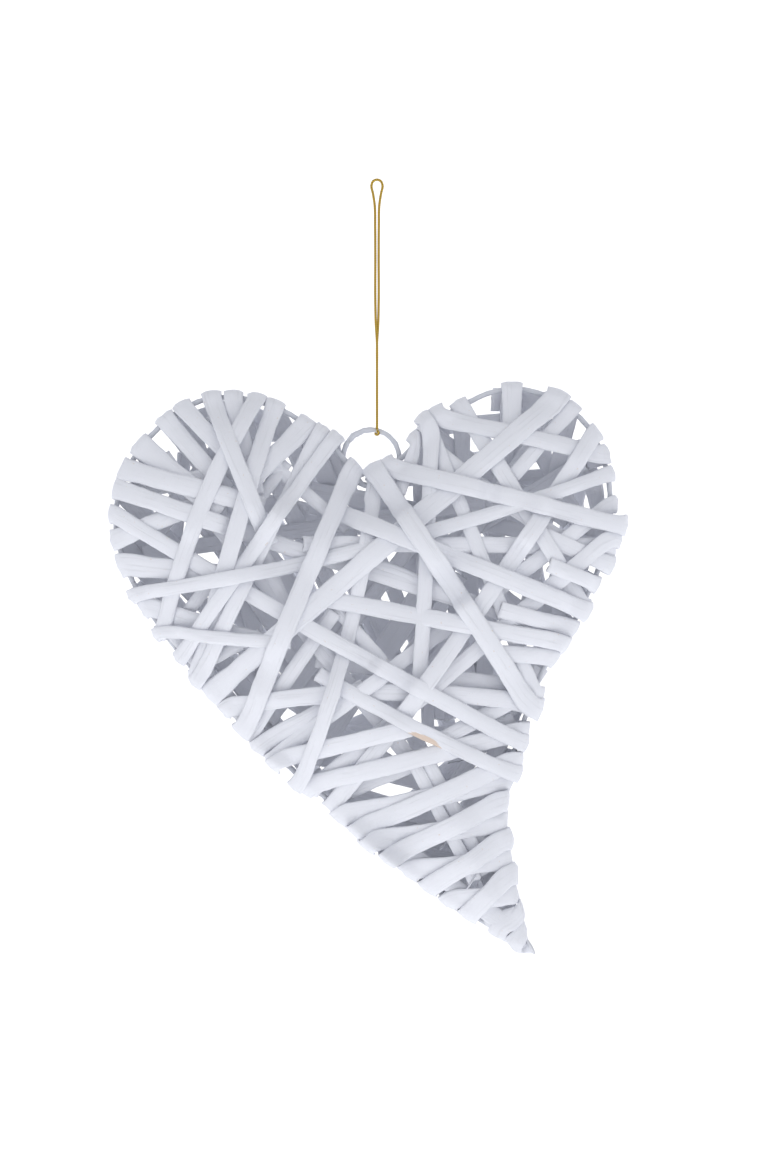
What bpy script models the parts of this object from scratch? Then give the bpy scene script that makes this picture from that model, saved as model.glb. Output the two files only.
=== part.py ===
"""Wicker heart: willow strips wound on a wire heart, with a hanging ring and a doubled cord.

Metres, +Z up. The heart hangs in the XZ plane and its front faces -Y. The origin is the inside of the
top of the cord's loop, where a hook or a nail carries it.
"""
import math

import bpy
import numpy as np
from mathutils import Vector
from mathutils.bvhtree import BVHTree

COLLECTION = "wicker_heart"

# The heart's wire frame: width and height are those of the wire's centre line
FRAME_WIDTH = 0.260
FRAME_HEIGHT = 0.294
FRAME_WIRE = 0.0026
# Thickness of the wound heart where it bulges most, measured to the innermost strips' faces
BULGE_DEPTH = 0.052
BULGE_ROUNDNESS = 1.8
# The willow
STRIP_THICKNESS = 0.0013
STRIP_WIDTH_SCALE = 1.08
CLEARANCE = 0.0003
# The ring in the cleft, how tightly the willow that is wound over it and the frame holds it, and how many
# places to each side of a turn's middle are looked at to see whether the ring is under it
RING_WIDTH = 0.0295
RING_WIRE = 0.0025
RING_HOLD = 0.75
RING_PROBES = 2
# The cord, a thin thread doubled into a loop
CORD_DIAMETER = 0.0014
CORD_DROP = 0.1316
CORD_POINTS_APART = 0.0042
HITCH_STEPS = 10
# The route of the strand that comes up from the ring's front, in millimetres from the origin: the
# strands hang one behind the other over the ring, turn side by side, and open into the loop at the top
CORD_STRAND = [
    (0.0, 0.60, -131.3), (0.0, 0.60, -128.0), (0.0, 1.10, -121.0), (0.0, 1.55, -113.0), (0.0, 1.23, -98.0),
    (0.0, 0.97, -86.0), (-0.64, 0.99, -75.0), (-0.90, 1.39, -64.0), (-0.90, 0.87, -40.0),
    (-1.00, 0.52, -24.0), (-1.30, 0.24, -12.0), (-2.15, 0.13, -6.5), (-2.90, 0.05, -2.2),
    (-2.05, 0.0, -0.15),
]

# The plane in which the ring hangs, behind the frame's wire
RING_PLANE = FRAME_WIRE / 2 + RING_WIRE / 2 + CLEARANCE

# The outline of the frame, clockwise from the cleft as seen from the front: share of the width from the
# left, share of the height down from the top, in percent. The first point and the tip are corners
OUTLINE = [
    (50.5, 17.4), (57.8, 12.4), (66.9, 4.7), (79.7, 0.0), (92.5, 3.8), (99.2, 13.8), (99.6, 26.8),
    (93.7, 40.2), (86.2, 51.0), (81.7, 62.3), (78.1, 73.8), (78.9, 85.5), (82.4, 100.0), (65.1, 90.1),
    (46.9, 76.8), (27.0, 61.4), (10.8, 45.1), (1.4, 30.9), (0.2, 19.2), (6.5, 8.8), (17.4, 2.0),
    (31.2, 2.9), (43.2, 9.9),
]
TIP = 12
OUTLINE_STEPS = 14
FRAME_POINTS_APART = 0.014
# Where the ring and the cord sit, as shares of the frame's size from the same corner
RING_CENTRE = (51.6, 12.3)
CORD_AT_RING = (52.8, 7.4)

# The strips in the order in which they are laid, the lowest first: name, the place that its run on the
# back comes from, where it comes over the frame to the front, where its front run is heading, how much of
# that run it covers, how far the run bows to the left of its way in millimetres, and its width in
# millimetres. Places are thousandths of the frame's length, clockwise from the cleft
STRIPS = [
    ("right_low_cross", 400, 42, 228, 1.00, -5.0, 7.5),
    ("right_level", 840, 221, 788, 0.62, 0.0, 8.0),
    ("left_crown_stub", 480, 907, 590, 0.24, 0.0, 8.0),
    ("left_brace", 480, 952, 756, 0.36, 0.0, 9.5),
    ("right_crown_stub", 500, 137, 640, 0.20, 0.0, 7.5),
    ("right_crown_drop", 500, 101, 395, 0.12, 0.0, 9.0),
    ("cleft_stub", 520, 39, 620, 0.16, 0.0, 6.5),
    ("left_fan_one", 620, 878, 345, 0.20, 0.0, 8.5),
    ("left_fan_two", 420, 866, 375, 0.19, 0.0, 9.0),
    ("left_rise", 580, 790, 973, 0.47, 0.0, 9.0),
    ("left_level", 920, 775, 262, 0.25, 0.0, 10.5),
    ("left_fan_three", 440, 846, 350, 0.22, 0.0, 11.0),
    ("left_fan_five", 440, 818, 280, 0.32, 0.0, 9.0),
    ("left_fan_four", 240, 830, 250, 0.30, 0.0, 10.0),
    ("left_underpass", 400, 748, 330, 0.34, 0.0, 9.0),
    ("low_left_slant", 340, 656, 85, 0.36, 0.0, 7.5),
    ("low_left_short", 380, 647, 222, 0.30, 0.0, 8.5),
    ("low_level", 280, 675, 320, 1.00, 8.0, 8.5),
    ("right_diagonal_low", 520, 197, 637, 1.00, 0.0, 7.5),
    ("rim_stub_two", 100, 230, 896, 0.17, 0.0, 8.5),
    ("right_descent", 480, 70, 257, 1.00, 0.0, 8.0),
    ("right_steep", 220, 48, 313, 1.00, 0.0, 7.0),
    ("right_lobe_cross", 520, 57, 169, 1.00, 0.0, 8.5),
    ("lobe_upright", 140, 50, 541, 0.62, 1.5, 7.5),
    ("left_steep", 470, 931, 700, 1.00, 0.0, 8.5),
    ("right_diagonal_high", 140, 216, 609, 1.00, 0.0, 8.0),
    ("right_sweep", 320, 156, 594, 1.00, 3.0, 8.5),
    ("tail_strip_one", 280, 634, 315, 0.52, 0.0, 8.5),
    ("tail_strip_two", 400, 612, 336, 1.00, 0.0, 9.0),
    ("tail_strip_three", 400, 586, 365, 1.00, 0.0, 9.8),
    ("tail_strip_four", 400, 574, 354, 1.00, 0.0, 10.0),
    ("wear_strip", 580, 360, 790, 0.47, 6.5, 7.5),
    ("cleft_drop", 180, 6.9, 617, 1.00, 6.0, 7.5),
    ("long_descent", 460, 804, 342, 1.00, -1.5, 8.0),
    ("left_outer_drop", 860, 920, 732, 1.00, -4.0, 8.0),
    ("left_long", 500, 895, 545, 0.32, 0.0, 8.5),
    ("left_slant_one", 860, 961, 698, 1.00, 0.0, 7.5),
    ("left_slant_two", 400, 969, 714, 1.00, 0.0, 7.5),
    ("rim_stub_three", 40, 271, 805, 0.16, 0.0, 8.0),
    ("rim_stub_four", 100, 291, 737, 0.16, 0.0, 8.0),
    ("frayed_strip", 40, 243, 868, 0.11, 0.0, 7.5),
    ("right_lower_level", 0, 281, 777, 0.54, 0.0, 8.5),
    ("long_rise", 940, 757, 180, 1.00, -7.0, 7.0),
    ("great_diagonal", 80, 127, 687, 1.00, 0.0, 10.5),
    ("right_shoulder", 140, 259, 852, 0.57, 0.0, 9.0),
    ("right_top_sweep", 480, 16.5, 208, 1.00, 0.0, 9.0),
    ("low_left_level", 880, 732, 262, 0.31, -10.0, 6.5),
    ("broad_left", 900, 988.4, 660, 1.00, 0.0, 9.6),
    ("broad_right", 160, 9.3, 321, 1.00, 0.0, 10.0),
    ("tail_strip_five", 320, 564, 389, 1.00, 0.0, 10.0),
    ("tail_strip_six", 420, 551, 377, 1.00, 0.0, 10.0),
    ("tail_strip_seven", 360, 537, 410, 1.00, 0.0, 10.0),
    ("tail_strip_eight", 360, 523, 399, 1.00, 0.0, 10.0),
    ("tail_strip_nine", 380, 509, 430, 1.00, 0.0, 9.5),
    ("tail_strip_ten", 380, 496, 419, 1.00, 0.0, 9.5),
]

# The strip that is wound round both wires at the tip: its width, how far apart its turns lie, how many it
# makes, and the cross lines in each
TIP_WIDTH = 0.0085
TIP_PITCH = TIP_WIDTH + 3 * CLEARANCE
TIP_TURNS = 2.0
TIP_STEPS = 10

# How a strip lies round the frame's wire: the steps of its turn, and the radius that clears the wire
TURN_ANGLE = 58.0
TURN_FLAT = math.cos(math.radians(TURN_ANGLE / 2))
TURN_RADIUS = (FRAME_WIRE / 2 + CLEARANCE + STRIP_THICKNESS / 2) / TURN_FLAT
WIDEST_TURN = 1.0
LEAST_CROSSING = 0.2
# How it lies on the runs: the spacing of its cross lines, the depth inside the frame at which the first
# one lies, how far a hook reaches on the back, and the share of its run that it reaches at most
RUN_STEP = 0.007
RUN_INSET = 0.0050
HOOK_REACH = 0.0095
HOOK_SHARE = 0.35
STEEPEST_LEAN = 1.1
LEAST_STEEPNESS = 0.4
FOLLOW = 0.0019
# The pillow's skin: where it starts, as a share of the turns' radius; the point round which its deepest
# place is looked for, how far from it as a share of the frame's size and in how many steps; and the
# distance below which the frame is not felt any closer
PILLOW_FOOT = 0.85
PILLOW_MIDDLE = (50.0, 40.0)
PILLOW_SEARCH = 0.2
PILLOW_PROBES = 6
NEAREST = 0.0003
# The runs on the back: the share of its chord and the length that one covers at most
BACK_COVER = 0.80
BACK_LONGEST = 0.160
# The grid that holds the heights of what is laid: the size of a cell, and its half span about the heart
CELL = 0.0005
GRID_HALF = 0.56 * max(FRAME_WIDTH, FRAME_HEIGHT)
FINE_STEP = 0.00045
WIRE_LINES = 15
FLATTEST = 0.66
SETTLING_ROUNDS = 60
BALANCING_SWEEPS = 12
TOLERANCE = 0.00001
NUDGE = 0.0002
NUDGES = 40
NOTHING = -1.0

WHITE = (0.74, 0.76, 0.80, 1.0)
GOLD = (0.55, 0.34, 0.08, 1.0)


def clear_scene():
    for old in list(bpy.data.objects):
        bpy.data.objects.remove(old, do_unlink=True)


def make_material(name, colour, roughness, metallic):
    material = bpy.data.materials.new(name)
    material.use_nodes = True
    shader = material.node_tree.nodes["Principled BSDF"]
    shader.inputs["Base Color"].default_value = colour
    shader.inputs["Roughness"].default_value = roughness
    shader.inputs["Metallic"].default_value = metallic
    return material


def place(share):
    """A point of the heart's plane, from shares of the frame's size, with the cord's line at x = 0."""
    top = -CORD_DROP + (CORD_AT_RING[1] / 100) * FRAME_HEIGHT
    x = (share[0] - CORD_AT_RING[0]) / 100 * FRAME_WIDTH
    return Vector((x, 0.0, top - share[1] / 100 * FRAME_HEIGHT))


def smooth_outline():
    """The frame's centre line as a closed run of points, with corners at the cleft and the tip."""
    points = [place(share) for share in OUTLINE]
    count = len(points)
    corners = (0, TIP)
    line = []
    for i in range(count):
        before, start, end, after = (points[(i + k) % count] for k in (-1, 0, 1, 2))
        leave = end - start if i in corners else (end - before) / 2
        arrive = end - start if (i + 1) % count in corners else (after - start) / 2
        for step in range(OUTLINE_STEPS):
            t = step / OUTLINE_STEPS
            line.append((2 * t**3 - 3 * t**2 + 1) * start + (t**3 - 2 * t**2 + t) * leave
                        + (3 * t**2 - 2 * t**3) * end + (t**3 - t**2) * arrive)
    return line


class Rim:
    """The frame's line, read by thousandths of its length, and the pillow that the willow lies on."""

    def __init__(self):
        line = smooth_outline()
        self.line = line
        self.reach = [0.0]
        for i, point in enumerate(line):
            self.reach.append(self.reach[-1] + (line[(i + 1) % len(line)] - point).length)
        self.length = self.reach[-1]
        self.samples = [((line[(i + 1) % len(line)] + point) / 2, self.reach[i + 1] - self.reach[i])
                        for i, point in enumerate(line)]
        self.deepest = 0.0
        middle = place(PILLOW_MIDDLE)
        for i in range(-PILLOW_PROBES, PILLOW_PROBES + 1):
            for j in range(-PILLOW_PROBES, PILLOW_PROBES + 1):
                aside = Vector((i * FRAME_WIDTH, 0, j * FRAME_HEIGHT)) * (PILLOW_SEARCH / PILLOW_PROBES)
                probe = middle + aside
                self.deepest = max(self.deepest, self.distance(probe.x, probe.z))

    def at(self, station):
        """The point, the direction and the outward normal of the frame at a station."""
        want = (station % 1000) / 1000 * self.length
        i = 0
        while self.reach[i + 1] < want:
            i += 1
        a = self.line[i]
        b = self.line[(i + 1) % len(self.line)]
        t = (want - self.reach[i]) / (self.reach[i + 1] - self.reach[i])
        along = (b - a).normalized()
        outward = Vector((-along.z, 0, along.x))
        return a.lerp(b, t), along, outward

    def distance(self, x, z):
        """A smooth distance from the frame: true near it, rounded off in the middle of the heart."""
        total = 0.0
        for sample, length in self.samples:
            square = (sample.x - x)**2 + (sample.z - z)**2
            total += length / max(math.sqrt(square), NEAREST)**3
        return math.sqrt(2 / total)

    def height(self, x, z):
        """How far the pillow's skin stands off the frame's plane."""
        share = min(1.0, self.distance(x, z) / self.deepest)
        bulge = 1 - (1 - share)**BULGE_ROUNDNESS
        return TURN_RADIUS * PILLOW_FOOT + (BULGE_DEPTH / 2 - TURN_RADIUS) * bulge


class Station:
    """One cross line of a strip: its two ends, the side it lies on (front -1, back 1, the turn 0), and
    the way in which it is lifted off what lies below."""

    def __init__(self, left, right, side, away=None):
        self.left = left
        self.right = right
        self.side = side
        self.away = away or Vector((0, side, 0))
        self.lift = 0.0

    def ends(self):
        rise = self.away * self.lift
        return self.left + rise, self.right + rise


def directions(rim, start, end):
    """The way of a straight run between two places of the frame, and the way to its left."""
    ahead = (rim.at(end)[0] - rim.at(start)[0]).normalized()
    return ahead, Vector((-ahead.z, 0, ahead.x))


def lean_of(along, ahead, leftward):
    """How far a cross line leans to lie along the frame while the strip's edges stay straight."""
    cross = along.dot(leftward)
    lean = along.dot(ahead) / math.copysign(max(abs(cross), LEAST_CROSSING), cross)
    return max(-STEEPEST_LEAN, min(STEEPEST_LEAN, lean))


def run_stations(rim, start, end, skipped, cover, bow, width, side):
    """Cross lines of a run over one side of the pillow, or of the share of it that the strip covers."""
    a, a_along, _ = rim.at(start)
    b, b_along, _ = rim.at(end)
    ahead, leftward = directions(rim, start, end)
    length = (b - a).length
    steepness = [max(LEAST_STEEPNESS, abs(along.dot(leftward))) for along in (a_along, b_along)]
    first = length * skipped if skipped else RUN_INSET / steepness[0]
    last = length - RUN_INSET / steepness[1] if cover >= 1.0 else length * cover
    count = max(2, round((last - first) / RUN_STEP) + 1)
    stations = []
    for k in range(count):
        travel = first + (last - first) * k / (count - 1)
        share = travel / length
        lean = 0.0
        if k == 0 and not skipped:
            lean = lean_of(a_along, ahead, leftward)
        if k == count - 1 and cover >= 1.0:
            lean = lean_of(b_along, ahead, leftward)
        middle = a + ahead * travel + leftward * (bow * 4 * share * (1 - share))
        half = (leftward + ahead * lean) * (width / 2)
        ends = [middle + half, middle - half]
        for point in ends:
            point.y = side * rim.height(point.x, point.z)
        if side > 0:
            ends.reverse()
        stations.append(Station(ends[0], ends[1], side))
    return stations


def turn_stations(rim, station, width, leftward, radius, towards_front):
    """Cross lines round the frame's wire at a station, from the front to the back or the other way."""
    point, along, outward = rim.at(station)
    cross = along.dot(leftward)
    half = along * math.copysign(width / 2 * widening(cross), cross)
    stations = []
    for side in (-1, 0, 1):
        angle = math.radians(TURN_ANGLE) * side
        way = outward * math.cos(angle) + Vector((0, math.sin(angle), 0))
        middle = point + way * radius
        stations.append(Station(middle + half, middle - half, side, None if side else way))
    if towards_front:
        stations.reverse()
    return stations


def widening(cross):
    """How much longer than the strip's width its cross line is where it turns round the wire."""
    return min(WIDEST_TURN, 1 / max(LEAST_CROSSING, abs(cross)))


class Turns:
    """The turns wound so far along the frame, so that a later one goes round those below it."""

    def __init__(self, rim):
        self.rim = rim
        self.taken = []

    def radius(self, station, width, cross):
        """The radius of a new turn: over the wire, over the ring where it is near, and over old turns."""
        half = width / 2 * widening(cross) / self.rim.length * 1000
        radius = TURN_RADIUS
        for k in range(-RING_PROBES, RING_PROBES + 1):
            reach = self.ring_reach(station + half * k / RING_PROBES)
            if reach < RING_WIRE:
                radius = max(radius, (reach + RING_WIRE / 2 + CLEARANCE + STRIP_THICKNESS / 2) / RING_HOLD)
        for other, other_half, other_radius in self.taken:
            apart = abs((station - other + 500) % 1000 - 500)
            if apart < half + other_half + CLEARANCE / self.rim.length * 1000:
                radius = max(radius, other_radius + (STRIP_THICKNESS + CLEARANCE) / TURN_FLAT)
        self.taken.append((station, half, radius))
        return radius

    def ring_reach(self, station):
        """How far outside the frame the ring's wire passes at a station."""
        point = self.rim.at(station)[0]
        return (point - place(RING_CENTRE)).length - RING_WIDTH / 2


def strip_stations(rim, turns, spec):
    """All cross lines of one strip: its back run, the turn over the frame, its front run and its hook."""
    _, back, start, end, cover, bow, width = spec
    width = width / 1000 * STRIP_WIDTH_SCALE
    _, leftward = directions(rim, start, end)
    chord = rim.at(start)[0] - rim.at(back)[0]
    skipped = max(1 - BACK_COVER, 1 - BACK_LONGEST / chord.length)
    stations = run_stations(rim, back, start, skipped, 1.0, 0.0, width, 1)
    radius = turns.radius(start, width, rim.at(start)[1].dot(leftward))
    stations = stations + turn_stations(rim, start, width, leftward, radius, True)
    stations += run_stations(rim, start, end, 0.0, cover, bow / 1000, width, -1)
    if cover >= 1.0:
        radius = turns.radius(end, width, rim.at(end)[1].dot(leftward))
        stations += turn_stations(rim, end, width, leftward, radius, False)
        point, _, outward = rim.at(end)
        chord = point - rim.at(start)[0]
        inside = point - outward * min(HOOK_REACH, chord.length * HOOK_SHARE)
        half = (stations[-1].left - stations[-1].right) / 2
        ends = [inside + half, inside - half]
        for corner in ends:
            corner.y = rim.height(corner.x, corner.z)
        stations.append(Station(ends[0], ends[1], 1))
    return stations


class Patches:
    """The strip's patches from cross line to cross line, as fine samples over the heart's plane."""

    def __init__(self, stations, margin):
        self.left = np.array([(p.x, abs(p.y), p.z) for p in (station.ends()[0] for station in stations)])
        self.right = np.array([(p.x, abs(p.y), p.z) for p in (station.ends()[1] for station in stations)])
        self.parts = []
        first, share, edge = [], [], []
        total = 0
        for k in range(len(stations) - 1):
            along = max((stations[k].left - stations[k + 1].left).length,
                        (stations[k].right - stations[k + 1].right).length)
            wide = max((stations[i].left - stations[i].right).length for i in (k, k + 1))
            rows = np.linspace(0, 1, max(3, math.ceil(along / FINE_STEP)))
            columns = np.linspace(-margin / wide, 1 + margin / wide, max(3, math.ceil(wide / FINE_STEP)))
            v, u = np.meshgrid(rows, columns)
            first.append(np.full(v.size, k))
            share.append(v.ravel())
            edge.append(u.ravel())
            self.parts.append(slice(total, total + v.size))
            total += v.size
        self.first = np.concatenate(first)
        self.share = np.concatenate(share)
        self.edge = np.concatenate(edge)
        sides = np.array([here.side or there.side for here, there in zip(stations, stations[1:])])
        self.side = sides[self.first]
        free = np.array([float(station.side != 0) for station in stations])
        near = (1 - self.share) * free[self.first]
        self.weights = np.stack([near, self.share * free[self.first + 1]], axis=1)
        self.cell = Field.cells(self.blend(self.left[:, 0], self.right[:, 0]),
                                self.blend(self.left[:, 2], self.right[:, 2]))

    def blend(self, left, right):
        """Values at the samples, from each cross line's values at its left and its right end."""
        near = left[self.first] * (1 - self.share) + left[self.first + 1] * self.share
        far = right[self.first] * (1 - self.share) + right[self.first + 1] * self.share
        return near + (far - near) * self.edge

    def heights(self, lifts):
        """The height of the strip's middle surface off the heart's plane, at every sample."""
        return self.blend(self.left[:, 1] + lifts, self.right[:, 1] + lifts)

    def steepness(self, lifts):
        """At every sample, how much thicker than its true thickness the strip is off the heart's plane."""
        rise = np.stack([np.zeros_like(lifts), lifts, np.zeros_like(lifts)], axis=1)
        left = self.left + rise
        right = self.right + rise
        normal = np.cross(right[1:] - left[:-1], left[1:] - right[:-1])
        normal /= np.linalg.norm(normal, axis=1, keepdims=True)
        return (1 / np.maximum(FLATTEST, np.abs(normal[:, 1])))[self.first]

    def settle(self, fields):
        """The least lifts, in the sense of least squares, that clear everything laid before."""
        under = np.where(self.side < 0, fields[-1].height[self.cell], fields[1].height[self.cell])
        binding = (self.weights.sum(axis=1) > 0.5) & (under > NOTHING)
        lifts = np.zeros(len(self.left))
        touches = {}
        for _ in range(SETTLING_ROUNDS):
            room = self.room(under, binding, lifts)
            if room.min() >= -TOLERANCE:
                return lifts
            for part in self.parts:
                worst = part.start + int(np.argmin(room[part]))
                if room[worst] < -TOLERANCE:
                    touches.setdefault(worst, 0.0)
            self.balance(touches, self.room(under, binding, lifts), lifts)
        for _ in range(SETTLING_ROUNDS):
            room = self.room(under, binding, lifts)
            for k, part in enumerate(self.parts):
                worst = part.start + int(np.argmin(room[part]))
                if room[worst] < -TOLERANCE:
                    lifts[k:k + 2] -= room[worst] * self.weights[worst] / (self.weights[worst]**2).sum()
        return lifts

    def balance(self, touches, room, lifts):
        """Share the lifting among the places where the strip touches, each pushing no more than it must."""
        before = lifts.copy()
        for _ in range(BALANCING_SWEEPS):
            for sample, push in touches.items():
                k = self.first[sample]
                near, far = self.weights[sample]
                gained = near * (lifts[k] - before[k]) + far * (lifts[k + 1] - before[k + 1])
                change = max(-push, -(room[sample] + gained) / (near**2 + far**2))
                touches[sample] = push + change
                lifts[k] += change * near
                lifts[k + 1] += change * far

    def room(self, under, binding, lifts):
        """How far the strip stands above what it must clear, at every sample."""
        stand = (STRIP_THICKNESS / 2 + CLEARANCE) * self.steepness(lifts)
        return np.where(binding, self.heights(lifts) - under - stand, GRID_HALF)


class Field:
    """The height of the outermost thing laid so far on one side of the heart's plane, cell by cell."""

    SPAN = round(2 * GRID_HALF / CELL)
    CENTRE = place((50.0, 50.0))

    def __init__(self):
        self.height = np.full((self.SPAN, self.SPAN), NOTHING)

    @classmethod
    def cells(cls, x, z):
        column = np.clip(((x - cls.CENTRE.x + GRID_HALF) / CELL).astype(int), 0, cls.SPAN - 1)
        row = np.clip(((z - cls.CENTRE.z + GRID_HALF) / CELL).astype(int), 0, cls.SPAN - 1)
        return row, column

    def raise_to(self, cells, heights):
        np.maximum.at(self.height, cells, heights)

    def add_wire(self, points, diameter, plane):
        """Lay in a closed wire whose centre line stands at a height over the heart's plane."""
        radius = diameter / 2
        for a, b in zip(points, points[1:] + points[:1]):
            ahead = (b - a).normalized()
            across = Vector((-ahead.z, 0, ahead.x))
            steps = math.ceil((b - a).length / FINE_STEP) + 1
            v, u = np.meshgrid(np.linspace(0, 1, steps), np.linspace(-1, 1, WIRE_LINES))
            x = a.x + (b.x - a.x) * v + across.x * radius * u
            z = a.z + (b.z - a.z) * v + across.z * radius * u
            self.raise_to(self.cells(x.ravel(), z.ravel()), (plane + radius * np.sqrt(1 - u**2)).ravel())


def thinned(stations, lifts):
    """The cross lines that are needed to keep each run within a small distance of its finer course."""
    heights = [(abs(station.left.y) + abs(station.right.y)) / 2 + lift
               for station, lift in zip(stations, lifts)]
    travel = [0.0]
    for here, there in zip(stations, stations[1:]):
        travel.append(travel[-1] + ((there.left + there.right) - (here.left + here.right)).xz.length / 2)
    kept = {0, len(stations) - 1}
    for k, station in enumerate(stations):
        if station.side == 0:
            kept.update((k - 2, k - 1, k, k + 1, min(k + 2, len(stations) - 1)))
    ends = sorted(kept)
    spans = list(zip(ends, ends[1:]))
    while spans:
        a, b = spans.pop()
        if b - a < 2:
            continue
        gaps = []
        for k in range(a + 1, b):
            share = (travel[k] - travel[a]) / (travel[b] - travel[a])
            bend = abs(heights[k] - heights[a] - (heights[b] - heights[a]) * share)
            sideways = stations[k].left - stations[a].left.lerp(stations[b].left, share)
            gaps.append((max(bend, sideways.xz.length), k))
        gap, k = max(gaps)
        if gap > FOLLOW:
            kept.add(k)
            spans += [(a, k), (k, b)]
    return [stations[k] for k in sorted(kept)]


def lay(name, stations, fields, laid, material, collection):
    """Lift a strip off the heart's plane until it clears all that is laid, then lay it."""
    stations = thinned(stations, Patches(stations, CLEARANCE).settle(fields))
    for station, lift in zip(stations, Patches(stations, CLEARANCE).settle(fields)):
        station.lift = lift
    nudge(strip_object(name, stations, material, collection), stations, laid)
    patches = Patches(stations, 0.0)
    level = np.zeros(len(stations))
    tops = patches.heights(level) + STRIP_THICKNESS / 2 * patches.steepness(level)
    for side, field in fields.items():
        mine = patches.side == side
        field.raise_to((patches.cell[0][mine], patches.cell[1][mine]), tops[mine])


def nudge(piece, stations, laid):
    """Move a strip's cross lines outward, step by step, where it still runs into something."""
    for _ in range(NUDGES):
        tree, crossed = solid(piece)
        struck = {crossed[mine] for other in laid for mine, _ in tree.overlap(other)}
        struck |= {crossed[mine] for mine, other in tree.overlap(tree)
                   if crossed[mine][0] > crossed[other][-1]}
        if not struck:
            break
        for k in {k for ends in struck for k in ends}:
            stations[k].lift += NUDGE
            piece.data.vertices[2 * k].co, piece.data.vertices[2 * k + 1].co = stations[k].ends()
    laid.append(tree)


def tip_stations(rim):
    """Cross lines of the strip that is wound round both wires, turn beside turn, down to the tip."""
    tip = rim.line[TIP * OUTLINE_STEPS]
    arms = [(rim.line[TIP * OUTLINE_STEPS + step] - tip).normalized() for step in (-1, 1)]
    inward = (arms[0] + arms[1]).normalized()
    sideways = Vector((-inward.z, 0, inward.x))
    spread = math.tan(arms[0].angle(inward))
    lowest = min((rim.at(spec[k])[0] - tip).dot(inward) for spec in STRIPS[-2:] for k in (2, 3))
    top = lowest - (STRIPS[-1][-1] / 1000 * STRIP_WIDTH_SCALE + TIP_PITCH) / 2

    def skin(travel, turn):
        aside = TURN_RADIUS * math.cos(turn) + math.copysign(max(0.0, travel * spread), math.cos(turn))
        return tip + inward * travel + sideways * aside + Vector((0, TURN_RADIUS * math.sin(turn), 0))

    stations = []
    for k in range(round(TIP_TURNS * TIP_STEPS) + 1):
        turn = math.pi + 2 * math.pi * k / TIP_STEPS
        travel = top - TIP_PITCH * k / TIP_STEPS
        away = sideways * math.cos(turn) + Vector((0, math.sin(turn), 0))
        ends = [skin(travel + half, turn) for half in (TIP_WIDTH / 2, -TIP_WIDTH / 2)]
        stations.append(Station(ends[0], ends[1], 0, away))
    return stations


def solid(piece):
    """A search tree of a piece's finished skin, and the cross lines that each of its facets spans."""
    bpy.context.view_layer.update()
    finished = piece.evaluated_get(bpy.context.evaluated_depsgraph_get())
    skin = finished.to_mesh()
    skin.calc_loop_triangles()
    points = [vertex.co.copy() for vertex in skin.vertices]
    facets = [tuple(triangle.vertices) for triangle in skin.loop_triangles]
    finished.to_mesh_clear()
    crossed = [tuple(sorted({corner % (len(points) // 2) // 2 for corner in facet})) for facet in facets]
    return BVHTree.FromPolygons(points, facets), crossed


def strip_object(name, stations, material, collection):
    """A ribbon through the cross lines, thickened both ways into a strip of willow."""
    mesh = bpy.data.meshes.new(name)
    corners = [point for station in stations for point in station.ends()]
    faces = [(2 * k, 2 * k + 1, 2 * k + 3, 2 * k + 2) for k in range(len(stations) - 1)]
    mesh.from_pydata(corners, [], faces)
    piece = bpy.data.objects.new(name, mesh)
    piece.data.materials.append(material)
    collection.objects.link(piece)
    thicken = piece.modifiers.new("thickness", "SOLIDIFY")
    thicken.thickness = STRIP_THICKNESS
    thicken.offset = 0.0
    return piece


def wire_object(name, points, diameter, closed, material, collection, resolution=2):
    curve = bpy.data.curves.new(name, "CURVE")
    curve.dimensions = "3D"
    curve.bevel_depth = diameter / 2
    curve.bevel_resolution = resolution
    curve.use_fill_caps = not closed
    spline = curve.splines.new("POLY")
    spline.points.add(len(points) - 1)
    for control, point in zip(spline.points, points):
        control.co = (point.x, point.y, point.z, 1.0)
    spline.use_cyclic_u = closed
    piece = bpy.data.objects.new(name, curve)
    piece.data.materials.append(material)
    collection.objects.link(piece)
    return piece


def frame_points(rim):
    """The frame's centre line with corners kept and long smooth stretches thinned out."""
    count = round(rim.length / FRAME_POINTS_APART)
    tip_station = rim.reach[TIP * OUTLINE_STEPS] / rim.length * 1000
    first = round(count * tip_station / 1000)
    stations = [tip_station * k / first for k in range(first)]
    stations += [tip_station + (1000 - tip_station) * k / (count - first) for k in range(count - first)]
    return [rim.at(station)[0] for station in stations]


def ring_points(count=24):
    centre = place(RING_CENTRE)
    centre.y = RING_PLANE
    radius = RING_WIDTH / 2
    return [centre + Vector((math.sin(turn), 0, math.cos(turn))) * radius
            for turn in (2 * math.pi * k / count for k in range(count))]


def ring_place(x):
    """The centre of the ring's wire in the upper half of the ring, at a distance x from the cord's line."""
    centre = place(RING_CENTRE)
    rise = math.sqrt((RING_WIDTH / 2)**2 - (x - centre.x)**2)
    return Vector((x, RING_PLANE, centre.z + rise))


def cord_route():
    """The cord's route: one strand up from the ring, the top of the loop and the other strand down."""
    strand = [Vector(point) / 1000 for point in CORD_STRAND]
    other = [Vector((-p.x, 2 * cord_middle(p.z) - p.y, p.z)) for p in reversed(strand)]
    return strand + [Vector((0, 0, CORD_DIAMETER / 2))] + other


def cord_middle(z):
    """How far back the middle between the two strands lies, at a height."""
    return RING_PLANE * z / -CORD_DROP


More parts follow.
